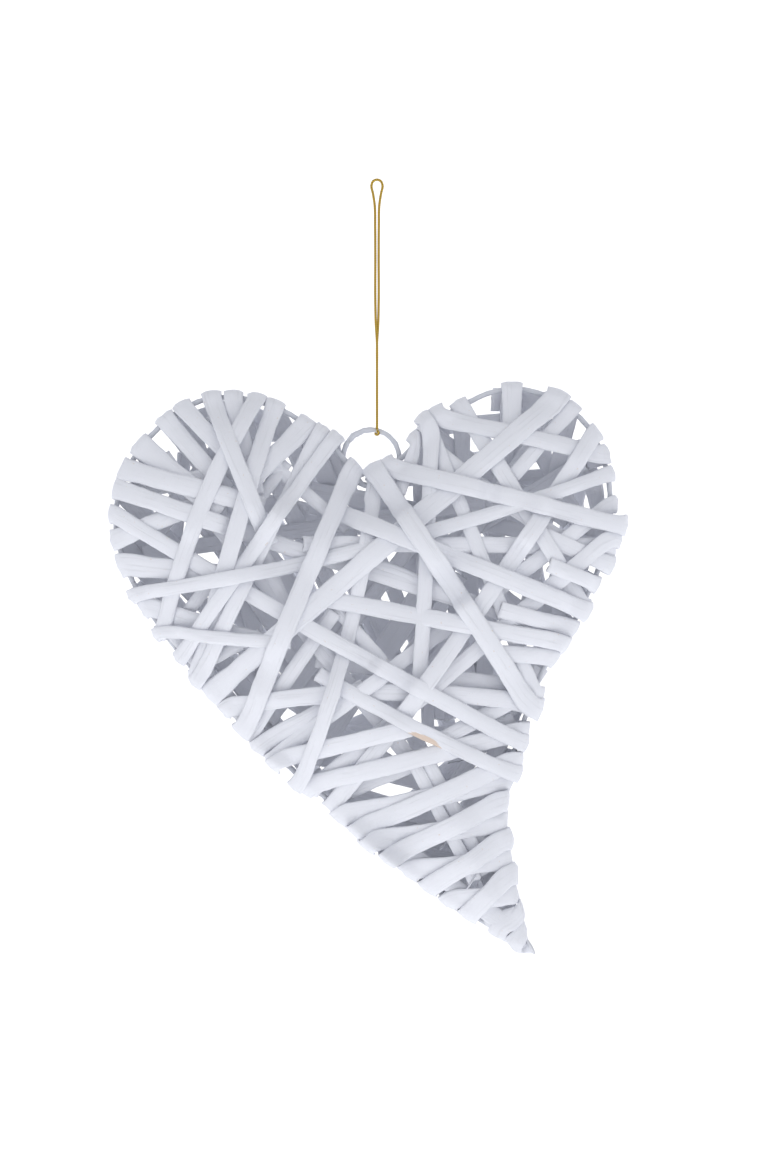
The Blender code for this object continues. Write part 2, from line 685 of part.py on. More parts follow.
def smooth_route(route, longest):
    """Points along a smooth curve through a route's own points, no further apart than asked."""
    gaps = [(b - a).length for a, b in zip(route, route[1:])]
    slopes = [(b - a) / gap for a, b, gap in zip(route, route[1:], gaps)]
    ways = [slopes[0]]
    for k in range(1, len(slopes)):
        ways.append((slopes[k - 1] * gaps[k] + slopes[k] * gaps[k - 1]) / (gaps[k - 1] + gaps[k]))
    ways.append(slopes[-1])
    points = []
    for k, gap in enumerate(gaps):
        steps = math.ceil(gap / longest)
        for step in range(steps):
            t = step / steps
            points.append((2 * t**3 - 3 * t**2 + 1) * route[k] + (t**3 - 2 * t**2 + t) * gap * ways[k]
                          + (3 * t**2 - 2 * t**3) * route[k + 1] + (t**3 - t**2) * gap * ways[k + 1])
    return points + [route[-1]]


def hitch_points():
    """The turn of the cord under the ring's wire, from the front strand's end to the back strand's."""
    ring = ring_place(0.0)
    reach = RING_WIRE / 2 + CLEARANCE + CORD_DIAMETER / 2
    turns = [math.pi * k / HITCH_STEPS for k in range(HITCH_STEPS + 1)]
    return [ring + Vector((0, -math.cos(turn), -math.sin(turn))) * reach for turn in turns]


def main():
    clear_scene()
    collection = bpy.data.collections.new(COLLECTION)
    bpy.context.scene.collection.children.link(collection)
    wire_white = make_material("wire_white", WHITE, 0.45, 0.0)
    willow_white = make_material("willow_white", WHITE, 0.75, 0.0)

    rim = Rim()
    frame = frame_points(rim)
    ring = ring_points()
    laid = [solid(wire_object("heart_frame", frame, FRAME_WIRE, True, wire_white, collection))[0],
            solid(wire_object("hanging_ring", ring, RING_WIRE, True, wire_white, collection))[0]]
    fields = {-1: Field(), 1: Field()}
    for side, field in fields.items():
        field.add_wire(frame, FRAME_WIRE, 0.0)
    fields[1].add_wire(ring, RING_WIRE, RING_PLANE)
    turns = Turns(rim)
    for spec in STRIPS:
        stations = strip_stations(rim, turns, spec)
        lay(spec[0], stations, fields, laid, willow_white, collection)
    stations = tip_stations(rim)
    nudge(strip_object("tip_binding", stations, willow_white, collection), stations, laid)

    gold = make_material("gold_thread", GOLD, 0.4, 0.3)
    cord = smooth_route(cord_route(), CORD_POINTS_APART)
    wire_object("hanging_cord", cord, CORD_DIAMETER, False, gold, collection)
    wire_object("cord_hitch", hitch_points(), CORD_DIAMETER, False, gold, collection)


main()
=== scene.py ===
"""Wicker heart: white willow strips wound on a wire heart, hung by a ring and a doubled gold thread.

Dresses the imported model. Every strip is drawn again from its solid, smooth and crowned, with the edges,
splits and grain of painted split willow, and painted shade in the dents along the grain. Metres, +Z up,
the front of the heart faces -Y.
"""

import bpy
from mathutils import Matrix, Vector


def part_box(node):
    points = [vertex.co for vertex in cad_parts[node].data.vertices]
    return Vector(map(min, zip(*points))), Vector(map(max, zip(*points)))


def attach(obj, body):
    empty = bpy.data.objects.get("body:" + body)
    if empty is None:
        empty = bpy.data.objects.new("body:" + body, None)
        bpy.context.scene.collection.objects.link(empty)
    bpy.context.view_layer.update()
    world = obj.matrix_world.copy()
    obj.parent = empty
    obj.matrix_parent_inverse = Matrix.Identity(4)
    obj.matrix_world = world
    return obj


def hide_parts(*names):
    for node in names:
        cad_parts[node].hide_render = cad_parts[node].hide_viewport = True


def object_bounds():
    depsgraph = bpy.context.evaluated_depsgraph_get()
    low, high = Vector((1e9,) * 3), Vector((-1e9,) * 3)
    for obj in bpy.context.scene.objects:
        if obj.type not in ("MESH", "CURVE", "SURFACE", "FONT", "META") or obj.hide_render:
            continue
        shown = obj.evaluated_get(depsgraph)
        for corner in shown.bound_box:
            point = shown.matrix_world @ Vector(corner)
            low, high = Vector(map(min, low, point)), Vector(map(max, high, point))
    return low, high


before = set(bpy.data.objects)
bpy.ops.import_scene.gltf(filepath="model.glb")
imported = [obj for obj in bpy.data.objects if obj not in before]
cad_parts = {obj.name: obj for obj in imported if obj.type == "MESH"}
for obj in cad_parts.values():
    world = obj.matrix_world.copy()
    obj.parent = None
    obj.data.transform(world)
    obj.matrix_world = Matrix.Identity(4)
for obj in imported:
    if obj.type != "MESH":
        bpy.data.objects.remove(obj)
CAD_BOX = [list(corner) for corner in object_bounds()]

import itertools
import math

import bpy
import numpy as np
from bpy.props import FloatProperty, FloatVectorProperty, IntProperty, PointerProperty
from mathutils import Vector, noise

bl_info = {
    "name": "Wicker Heart",
    "version": (1, 0, 0),
    "blender": (4, 5, 0),
    "location": "View3D > Sidebar > Wicker Heart",
    "description": "Dresses a wound willow heart with its painted strips, wires, thread and studio",
    "category": "Object",
}

BODY = "root"
WIRES = ("heart_frame", "hanging_ring")
THREADS = ("hanging_cord", "cord_hitch")
WILLOW = sorted(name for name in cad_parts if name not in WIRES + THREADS)

# The photograph's scale and the place of the cord's loop in it
METRES_PER_PIXEL = 0.000528
LOOP_PIXEL = (377, 181)
PHOTO_SIZE = (780, 1170)

# The thread's route from the ring's front up to the top of the loop, in millimetres from the origin, as
# the solid has it; the other strand mirrors it about the middle between the two
CORD_STRAND = [
    (0.0, 0.60, -131.3), (0.0, 0.60, -128.0), (0.0, 1.10, -121.0), (0.0, 1.55, -113.0), (0.0, 1.23, -98.0),
    (0.0, 0.97, -86.0), (-0.64, 0.99, -75.0), (-0.90, 1.39, -64.0), (-0.90, 0.87, -40.0),
    (-1.00, 0.52, -24.0), (-1.30, 0.24, -12.0), (-2.15, 0.13, -6.5), (-2.90, 0.05, -2.2),
    (-2.05, 0.0, -0.15),
]
CORD_DROP = 0.1316
RING_DEPTH = 0.00285
# How far the thread spreads along the ring in its half turn round it
HITCH_WIDTH = 0.0016

# How far apart the points of the thread's and the frame wire's courses lie, and how many points the ring's
# and the hitch's courses have
THREAD_STEP = 0.0003
FRAME_STEP = 0.0022
RING_STEPS = 120
HITCH_STEPS = 26
# The thread's section: its corners, its reach between the lobes and how much further the lobes reach, as
# shares of its radius
THREAD_SIDES = 12
THREAD_CORE = 0.90
THREAD_LOBE = 0.10

# Corners of a solid closer together than one part in so many of a metre are one corner
WELD_STEPS = 2e5
# How close together the corners of one section of the frame's wire lie
FRAME_REACH = 0.0029
# Where the ring's wire is joined, how far the thick paint over the joint reaches, how much higher the
# paint's lumps are there, and how thick the paint is everywhere as a share of its lumps
JOINT_PIXEL = (356, 434)
JOINT_REACH = 0.006
JOINT_GROWTH = 2.2
LUMP_LEVEL = 0.45
# The depth of the fine relief in the paint
PAINT_RELIEF = 0.0003

# The pillow that the willow lies on, as the solids have it: how deep it bulges, how round, and the least
# height of its skin off the frame's plane
BULGE_DEPTH = 0.052
BULGE_ROUNDNESS = 1.8
SKIN_FOOT = 0.0022
# Distances from the frame's wire count as this at least, so that none is nought
NEAREST = 3e-4

# Strips inside the basket, seen between the outer ones: where each starts and ends in the photograph's
# pixels, how far it lies under the skin in millimetres (under the front's if negative, under the back's if
# positive), and its width in millimetres
INNER_STRIPS = [
    (492, 856, 162, 456, -5.0, 8.7),
    (142, 554, 487, 501, 5.0, 8.7),
    (509, 914, 241, 419, 2.6, 8.7),
    (585, 461, 366, 594, 2.6, 8.7),
    (526, 692, 441, 738, -2.6, 8.7),
    (551, 418, 312, 763, 5.0, 8.7),
    (159, 457, 329, 715, 2.6, 8.7),
    (127, 493, 284, 464, -2.6, 8.7),
    (510, 928, 401, 846, -2.6, 8.7),
    (516, 721, 334, 795, -7.4, 8.7),
    (520, 686, 316, 659, -7.4, 8.7),
    (548, 627, 230, 529, -2.6, 8.7),
    (272, 750, 171, 629, -2.6, 7.1),
    (266, 722, 379, 580, 5.0, 8.7),
    (211, 413, 349, 530, -5.0, 7.1),
    (542, 667, 436, 810, 5.0, 7.1),
    (352, 556, 490, 608, -2.6, 7.4),
    (440, 560, 352, 690, 5.0, 8.0),
    (330, 600, 392, 672, -2.6, 7.0),
    (462, 575, 378, 705, 7.4, 8.0),
    (476, 600, 402, 715, 5.0, 7.5),
    (430, 520, 340, 640, 7.4, 8.0),
    (409, 752, 475, 880, -2.6, 7.4),
    (420, 746, 487, 873, -3.4, 7.4),
    (484, 921, 520, 911, -2.6, 6.0),
    (466, 889, 479, 868, -1.2, 0.9),
    (262, 548, 296, 628, -4.6, 7.4),
    (176, 628, 214, 580, -3.6, 7.0),
    (206, 662, 262, 634, -3.6, 6.6),
    (252, 512, 288, 462, -4.6, 6.6),
]
INNER_STEP = 0.006

# A strip's section: its corners, how square its edges and how flat its faces are, and the paces and shares
# of the waves along its edges
STRIP_SIDES = 14
EDGE_SQUARENESS = 0.85
FACE_FLATNESS = 0.7
EDGE_WAVES = ((12.0, 0.6), (70.0, 0.7), (260.0, 0.3))
# How many sections from its end a strip frays and reaches its full crown, and the share of it at the end
FRAY_SECTIONS = 2
CROWN_SECTIONS = 3
CROWN_AT_END = 0.2
# How far off the frame's plane a strip's turn round the wire is knobbly, and the knobs' mean height as a
# share of the highest
KNOB_REACH = 0.004
KNOB_LEVEL = 0.4
# The worn strip, where its bare patch lies in the photograph, and half the patch's length
WORN_STRIP = "wear_strip"
WORN_PIXEL = (424, 740)
WORN_HALF = 0.008

# The studio: the sweep's half width, the floor's front edge, the backdrop's place and height, and the bend
# between them
SWEEP_HALF = 4.0
FLOOR_FRONT = -4.0
BACKDROP = 1.6
BACKDROP_TOP = 3.0
BEND_RADIUS = 0.5
BEND_STEPS = 12
# Each lamp's name, place, size and share of the key light's power, and where both are aimed
LAMPS = (
    ("key_lamp", (-0.9, -1.5, 0.9), 0.9, 1.0),
    ("fill_lamp", (1.3, -1.6, 0.1), 1.4, 0.45),
)
LAMP_AIM = (0.0, 0.0, -0.25)
# The height of the camera's sensor in millimetres
SENSOR_HEIGHT = 24.0


class WickerHeartWillow(bpy.types.PropertyGroup):
    """The strips' surface."""

    crown: FloatProperty(
        name="Crown", description="How far a strip's outer face is rounded up", default=0.00072, min=0.0,
        unit="LENGTH", precision=5)
    ridges: FloatProperty(
        name="Ridges", description="Height of the ridges along a strip's outer face", default=0.00016,
        min=0.0, unit="LENGTH", precision=5)
    thickness: FloatProperty(
        name="Thickness", description="Thickness of a strip at its edges' middle", default=0.0013, min=0.0002,
        unit="LENGTH", precision=5)
    spacing: FloatProperty(
        name="Section spacing", description="Distance between the sections along a strip", default=0.0016,
        min=0.0005, unit="LENGTH", precision=5)
    waviness: FloatProperty(
        name="Waviness", description="Share by which a strip's width comes and goes", default=0.12, min=0.0,
        subtype="FACTOR")
    flare: FloatProperty(
        name="Flare", description="Share by which a strip is wider where it turns round the wire",
        default=0.22, min=0.0, subtype="FACTOR")
    flare_reach: FloatProperty(
        name="Flare reach", description="Height off the frame's plane where the flare ends", default=0.011,
        min=0.001, unit="LENGTH", precision=4)
    knob: FloatProperty(
        name="Knobs", description="Height of the bumps where a strip turns round the wire", default=0.0008,
        min=0.0, unit="LENGTH", precision=5)
    fray: FloatProperty(
        name="Fray", description="How far the fibres at a strip's end stand out", default=0.0011, min=0.0,
        unit="LENGTH", precision=4)
    paint: FloatVectorProperty(
        name="Paint", description="Colour of the white paint on the willow", default=(0.86, 0.877, 0.937),
        size=3, min=0.0, max=1.0, subtype="COLOR")
    cloud: FloatVectorProperty(
        name="Clouds", description="Colour of the paint where it is a little greyer",
        default=(0.70, 0.70, 0.73), size=3, min=0.0, max=1.0, subtype="COLOR")
    wood: FloatVectorProperty(
        name="Wood", description="Colour of bare willow where the paint is worn off",
        default=(0.70, 0.55, 0.43), size=3, min=0.0, max=1.0, subtype="COLOR")
    # The grey mixed into the dents along the grain: painted shade in the dents, with some grey tone at
    # random.
    dent_shade: FloatVectorProperty(
        name="Hollows", description="Colour of the paint in pores and splits", default=(0.52, 0.52, 0.56),
        size=3, min=0.0, max=1.0, subtype="COLOR")


class WickerHeartWire(bpy.types.PropertyGroup):
    """The frame's wire and the ring."""

    lumps: FloatProperty(
        name="Lumps", description="Height of the paint's lumps on the wires", default=0.00026, min=0.0,
        unit="LENGTH", precision=5)
    sides: IntProperty(name="Sides", description="Facets round a wire", default=14, min=6)
    # The wires' paint colour is set darker than the willow's white paint: painted shade on the round wires,
    # so that they stand out against the white backdrop.
    paint: FloatVectorProperty(
        name="Paint", description="Colour of the white paint on the wires", default=(0.66, 0.68, 0.74),
        size=3, min=0.0, max=1.0, subtype="COLOR")
    steel: FloatVectorProperty(
        name="Steel", description="Colour of the wire where the paint is thin", default=(0.30, 0.30, 0.32),
        size=3, min=0.0, max=1.0, subtype="COLOR")


class WickerHeartThread(bpy.types.PropertyGroup):
    """The doubled thread that the heart hangs by."""

    diameter: FloatProperty(
        name="Diameter", description="Diameter of the twisted thread", default=0.0014, min=0.0005,
        unit="LENGTH", precision=5)
    pitch: FloatProperty(
        name="Pitch", description="Length of one full twist of the thread's plies", default=0.0025,
        min=0.0005, unit="LENGTH", precision=5)
    plies: IntProperty(name="Plies", description="How many plies are twisted together", default=2, min=1)
    gold: FloatVectorProperty(
        name="Gold", description="Colour of the metallic yarn", default=(0.80, 0.54, 0.05), size=3, min=0.0,
        max=1.0, subtype="COLOR")
    # The colour mixed into the grooves between the plies: painted shade, not a colour of the yarn.
    painted_groove_shade: FloatVectorProperty(
        name="Shade", description="Colour between the plies", default=(0.13, 0.06, 0.01), size=3, min=0.0,
        max=1.0, subtype="COLOR")


class WickerHeartStudio(bpy.types.PropertyGroup):
    """The stage, the lights and the camera."""

    camera_distance: FloatProperty(
        name="Camera distance", description="From the heart's plane to the camera", default=1.8, min=0.3,
        unit="LENGTH")
    floor_height: FloatProperty(
        name="Floor height", description="Height of the floor, seen from the loop", default=-0.75,
        unit="LENGTH")
    sky: FloatProperty(
        name="Soft light", description="Strength of the light from all round", default=0.64, min=0.0)
    key: FloatProperty(
        name="Key light", description="Power of the large lamp", default=2.8, min=0.0, unit="POWER")
    glow: FloatProperty(
        name="Paper's glow", description="Strength of the light that the paper lets through", default=0.42,
        min=0.0)
    paper: FloatVectorProperty(
        name="Paper", description="Colour of the floor and the backdrop", default=(0.95, 0.95, 0.96), size=3,
        min=0.0, max=1.0, subtype="COLOR")
    air: FloatVectorProperty(
        name="Air", description="Colour of the light from all round", default=(0.96, 0.97, 1.0), size=3,
        min=0.0, max=1.0, subtype="COLOR")


def smooth_rows(rows, gaps, longest):
    """Rows along a smooth curve through given ones, each no further from the next than asked."""
    slopes = [(b - a) / gap for a, b, gap in zip(rows, rows[1:], gaps)]
    ways = [slopes[0]]
    for k in range(1, len(slopes)):
        ways.append((slopes[k - 1] * gaps[k] + slopes[k] * gaps[k - 1]) / (gaps[k - 1] + gaps[k]))
    ways.append(slopes[-1])
    course = []
    for k, gap in enumerate(gaps):
        steps = math.ceil(gap / longest)
        course += [hermite(rows[k], rows[k + 1], ways[k] * gap, ways[k + 1] * gap, step / steps)
                   for step in range(steps)]
    return course + [rows[-1].copy()]


def smooth_course(points, longest):
    """Points along a smooth curve through given points."""
    return smooth_rows(points, [max((b - a).length, 1e-9) for a, b in zip(points, points[1:])], longest)


def hermite(start, end, leave, arrive, t):
    """A point of the cubic from start to end with the given end slopes."""
    return ((2 * t**3 - 3 * t**2 + 1) * start + (t**3 - 2 * t**2 + t) * leave
            + (3 * t**2 - 2 * t**3) * end + (t**3 - t**2) * arrive)


def welded(node):
    """A node's corners, with doubles joined, and its facets."""
    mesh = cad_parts[node].data
    corners, places, index = [], {}, []
    for vertex in mesh.vertices:
        key = tuple(round(value * WELD_STEPS) for value in vertex.co)
        if key not in places:
            places[key] = len(corners)
            corners.append(vertex.co.copy())
        index.append(places[key])
    mesh.calc_loop_triangles()
    facets = [tuple(index[corner] for corner in triangle.vertices) for triangle in mesh.loop_triangles]
    return corners, [facet for facet in facets if len(set(facet)) == 3]


def neighbours_of(count, facets):
    """For every corner, the corners that share an edge with it."""
    near = [set() for _ in range(count)]
    for facet in facets:
        for a, b in itertools.permutations(facet, 2):
            near[a].add(b)
    return near


def layers_from(start, near):
    """The corners in layers, each the unseen neighbours of the one before."""
    seen, layers = set(start), [list(start)]
    while True:
        layer = {b for a in layers[-1] for b in near[a]} - seen
        if not layer:
            return layers, seen
        seen |= layer
        layers.append(sorted(layer))


def ribbon_sections(node):
    """The sections of a strip's solid, from one end to the other: four corners each, in a matching order."""
    corners, facets = welded(node)
    near = neighbours_of(len(corners), facets)
    by_edge = {}
    for facet in facets:
        for edge in itertools.combinations(sorted(facet), 2):
            by_edge.setdefault(edge, []).append(facet)
    for pair in by_edge.values():
        cap = sorted(set(pair[0]) | set(pair[1]))
        if len(cap) != 4:
            continue
        layers, seen = layers_from(cap, near)
        if len(seen) == len(corners) and all(len(layer) == 4 for layer in layers):
            return matched([[corners[k] for k in layer] for layer in layers])
    raise RuntimeError(f"{node} has no end from which its sections follow")


def matched(sections):
    """Order each section's corners like the one before it: left and right below, right and left above."""
    start = sections[0]
    first = min(itertools.permutations(range(4)),
                key=lambda way: sum((start[way[k]] - start[way[(k + 1) % 4]]).length for k in range(4)))
    ring = [start[k] for k in first]
    if (ring[0] - ring[1]).length < (ring[1] - ring[2]).length:
        ring = ring[1:] + ring[:1]
    ordered = [ring]
    for section in sections[1:]:
        way = min(itertools.permutations(range(4)),
                  key=lambda order: sum((section[order[k]] - ordered[-1][k]).length for k in range(4)))
        ordered.append([section[k] for k in way])
    return ordered


def tube_centres(node):
    """The centres of a closed wire's sections, in order round it."""
    corners, facets = welded(node)
    near = neighbours_of(len(corners), facets)
    group = [-1] * len(corners)
    centres = []
    for k, corner in enumerate(corners):
        if group[k] >= 0:
            continue
        mine = [j for j, other in enumerate(corners)
                if group[j] < 0 and (other - corner).length < FRAME_REACH]
        for j in mine:
            group[j] = len(centres)
        centres.append(sum((corners[j] for j in mine), Vector()) / len(mine))
    linked = [set() for _ in centres]
    for a, others in enumerate(near):
        linked[group[a]] |= {group[b] for b in others if group[b] != group[a]}
    order = [0, min(linked[0])]
    while len(order) < len(centres):
        onward = [k for k in linked[order[-1]] if k not in order]
        order.append(onward[0])
    return [centres[k] for k in order]


def photo_place(pixel):
    """The point of the heart's plane that a pixel of the photograph shows."""
    return Vector(((pixel[0] - LOOP_PIXEL[0]) * METRES_PER_PIXEL, 0.0,
                   (LOOP_PIXEL[1] - pixel[1]) * METRES_PER_PIXEL))


class Pillow:
    """The pillow shape that the willow is wound over, from the frame's course."""

    def __init__(self, course):
        ends = course[1:] + course[:1]
        self.middles = np.array([((a.x + b.x) / 2, (a.z + b.z) / 2) for a, b in zip(course, ends)])
        self.lengths = np.array([(b - a).length for a, b in zip(course, ends)])
        low, high = self.middles.min(axis=0), self.middles.max(axis=0)
        self.deepest = max(self.distance(*(low + (high - low) * (share, 0.6)))
                           for share in np.linspace(0.3, 0.7, 9))

    def distance(self, x, z):
        """A smooth distance from the frame."""
        gaps = np.hypot(self.middles[:, 0] - x, self.middles[:, 1] - z)
        return math.sqrt(2 / (self.lengths / np.maximum(gaps, NEAREST)**3).sum())

    def height(self, point):
        """How far the skin stands off the frame's plane."""
        share = min(1.0, self.distance(point.x, point.z) / self.deepest)
        return SKIN_FOOT + (BULGE_DEPTH / 2 - SKIN_FOOT) * (1 - (1 - share)**BULGE_ROUNDNESS)


def new_piece(name, corners, faces, material):
    """A mesh piece in the scene, shaded smooth."""
    mesh = bpy.data.meshes.new(name)
    mesh.from_pydata([tuple(corner) for corner in corners], [], faces)
    mesh.validate()
    mesh.update()
    piece = bpy.data.objects.new(name, mesh)
    bpy.context.scene.collection.objects.link(piece)
    mesh.materials.append(material)
    mesh.shade_smooth()
    return piece


def dress(piece, node=None):
    """Let a piece ride on the heart, in the place of its node if it has one, whose solid it hides."""
    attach(piece, BODY)
    if node:
        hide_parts(node)


def ring_faces(sections, around, closed):
    """Quads between rings of corners, with the two ends filled unless the rings close on themselves."""
    faces = []
    for k in range(sections if closed else sections - 1):
        ahead = (k + 1) % sections
        for j in range(around):
            beside = (j + 1) % around
            faces.append((k * around + j, k * around + beside, ahead * around + beside, ahead * around + j))
    if not closed:
        faces.append(tuple(reversed(range(around))))
        faces.append(tuple(range((sections - 1) * around, sections * around)))
    return faces


class Ink:
    """A socket of a material's nodes, so that shader maths reads as ordinary expressions."""

    def __init__(self, tree, socket):
        self.tree = tree
        self.socket = socket

    def maths(self, operation, first, second):
        node = self.tree.nodes.new("ShaderNodeMath")
        node.operation = operation
        for slot, value in zip(node.inputs, (first, second)):
            feed(self.tree, slot, value)
        return Ink(self.tree, node.outputs[0])

    def __add__(self, other):
        return self.maths("ADD", self, other)

    def __radd__(self, other):
        return self.maths("ADD", other, self)

    def __sub__(self, other):
        return self.maths("SUBTRACT", self, other)

    def __rsub__(self, other):
        return self.maths("SUBTRACT", other, self)

    def __mul__(self, other):
        return self.maths("MULTIPLY", self, other)

    def __rmul__(self, other):
        return self.maths("MULTIPLY", other, self)

    def __truediv__(self, other):
        return self.maths("DIVIDE", self, other)

    def __rtruediv__(self, other):
        return self.maths("DIVIDE", other, self)


def feed(tree, slot, value):
    """Link a socket to a node's input, or set the input's own value."""
    if isinstance(value, Ink):
        tree.links.new(value.socket, slot)
    else:
        slot.default_value = value


class Finish:
    """A material in the making: its nodes, its shader and the usual patterns."""

    def __init__(self, name):
        self.material = bpy.data.materials.new(name)
        self.material.use_nodes = True
        self.tree = self.material.node_tree
        self.shader = self.tree.nodes["Principled BSDF"]

    def node(self, kind, settings=None, inputs=None, output=0):
        """Any node: its settings first, then the values or links of its sockets."""
        node = self.tree.nodes.new(kind)
        for key, value in (settings or {}).items():
            if key == "stops":
                self.set_stops(node.color_ramp, value)
            else:
                setattr(node, key, value)
        for key, value in (inputs or {}).items():
            feed(self.tree, node.inputs[key], value)
        return Ink(self.tree, node.outputs[output])

    @staticmethod
    def set_stops(ramp, stops):
        while len(ramp.elements) < len(stops):
            ramp.elements.new(0.5)
        for element, (position, level) in zip(ramp.elements, stops):
            element.position = position
            element.color = (level, level, level, 1.0)

    def ramp(self, value, stops):
        return self.node("ShaderNodeValToRGB", {"stops": stops}, {0: value})

    def mix(self, factor, first, second):
        """A colour between two colours."""
        return self.node("ShaderNodeMix", {"data_type": "RGBA"},
                         {0: factor, 6: colour(first), 7: colour(second)}, 2)

    def noise(self, place, scale, detail=3.0, roughness=0.5):
        return self.node("ShaderNodeTexNoise", None,
                         {"Vector": place, "Scale": scale, "Detail": detail, "Roughness": roughness})

    def place(self, x, y, z):
        return self.node("ShaderNodeCombineXYZ", None, {0: x, 1: y, 2: z})

    def split(self, place):
        """The three parts of a vector socket."""
        first = self.node("ShaderNodeSeparateXYZ", None, {0: place})
        return [Ink(self.tree, part) for part in first.socket.node.outputs]

    def bump(self, height, distance):
        normal = self.node("ShaderNodeBump", None, {"Height": height, "Distance": distance})
        self.tree.links.new(normal.socket, self.shader.inputs["Normal"])

    def set(self, **values):
        for key, value in values.items():
            feed(self.tree, self.shader.inputs[key.replace("_", " ").title()], value)


def colour(value):
    """A colour socket, or a plain colour with its alpha."""
    return value if isinstance(value, Ink) else (*value[:3], 1.0)


def strip_coordinates(finish):
    """Where a point of a strip or a thread is: metres along it, and its share across it; for a thread the
    second number is its ply's lobe share, which places the painted shade in the grooves.
    """
    return finish.split(finish.node("ShaderNodeUVMap", {"uv_map": "strip"}))[:2]


def willow_finish(look, wear=False):
    """Matt white paint on split willow: grain along the strip, wood-coloured pores, painted shade in the
    dents along the grain and, if asked, bare wear.
    """
    finish = Finish("painted_willow_worn" if wear else "painted_willow")
    along, across = strip_coordinates(finish)
    seed = finish.node("ShaderNodeObjectInfo", None, None, "Random") * 37.0
    grain = finish.noise(finish.place(along * 28.0, across * 9.0, seed), 1.0, 4.0, 0.6)
    fibre = finish.noise(finish.place(along * 60.0, across * 34.0, seed + 5.0), 1.0, 3.0, 0.6)
    cloud = finish.noise(finish.place(along * 45.0, across * 1.4, seed + 9.0), 1.0, 2.0)
    pores = finish.noise(finish.place(along * 420.0, across * 5.0, seed + 3.0), 1.0, 2.0, 0.7)
    # The low spots along the grain, dented by the bump below; the grey mixed in there is painted shade.
    thin = finish.ramp(grain, [(0.26, 1.0), (0.42, 0.0)])
    specks = finish.ramp(pores, [(0.70, 0.0), (0.76, 1.0)])
    # Painted shade: grey where the bump dents the face along the grain; the fibre share adds grey tone at
    # random.
    base = finish.mix(thin * 0.22 + fibre * 0.10, look.paint, look.dent_shade)
    base = finish.mix(cloud * 0.10, base, look.cloud)
    base = finish.mix(specks * 0.45, base, look.wood)
    if wear:
        away = (along / WORN_HALF) * (along / WORN_HALF)
        ragged = finish.ramp(grain * 0.6 + across * 0.9 - away * 0.16, [(0.80, 0.0), (0.86, 1.0)])
        base = finish.mix(ragged * 0.85, base, look.wood)
    finish.set(base_color=base, roughness=0.62 + fibre * 0.2)
    dents = finish.noise(finish.place(along * 170.0, across * 2.2, seed + 13.0), 1.0, 3.0, 0.6)
    finish.bump(fibre * 0.45 + grain * 0.6 + dents * 0.9 - thin * 0.3, PAINT_RELIEF)
    return finish.material


def wire_finish(look):
    """Thick white paint on wire, given a darker colour than the willow's as painted shade on the round wire,
    thin here and there.
    """
    finish = Finish("painted_wire")
    place = finish.node("ShaderNodeTexCoord", None, None, "Object")
    lumps = finish.noise(place, 420.0, 3.0, 0.6)
    thin = finish.ramp(finish.noise(place, 190.0, 4.0, 0.65), [(0.62, 0.0), (0.72, 1.0)])
    # The paint's colour holds painted shade; the steel shows where the paint is thin.
    base = finish.mix(thin * 0.55, look.paint, look.steel)
    finish.set(base_color=base, roughness=0.38 + lumps * 0.25)
    finish.bump(lumps - thin * 0.5, PAINT_RELIEF)
    return finish.material


def thread_finish(look):
    """Metallic yarn, gold on the plies, with painted shade in the grooves between them: dark brown mixed in
    where the plies' lobes are low.
    """
    finish = Finish("gold_thread_twisted")
    along, groove = strip_coordinates(finish)
    fuzz = finish.noise(finish.place(along * 1500.0, groove * 3.0, 0.0), 1.0, 2.0)
    # Painted shade: dark brown wherever the lobe share is low, in the grooves between the plies.
    painted_groove_shade = finish.ramp(groove + fuzz * 0.25, [(0.66, 1.0), (0.90, 0.0)])
    base = finish.mix(painted_groove_shade, look.gold, look.painted_groove_shade)
    finish.set(base_color=base, roughness=0.34 + fuzz * 0.2, metallic=0.30)
    return finish.material


def set_strip_map(piece, places):
    """The UV map that carries each corner's place along and across a strip."""
    layer = piece.data.uv_layers.new(name="strip")
    index = np.empty(len(piece.data.loops), dtype=int)
    piece.data.loops.foreach_get("vertex_index", index)
    layer.data.foreach_set("uv", np.array(places, dtype=np.float32)[index].ravel())


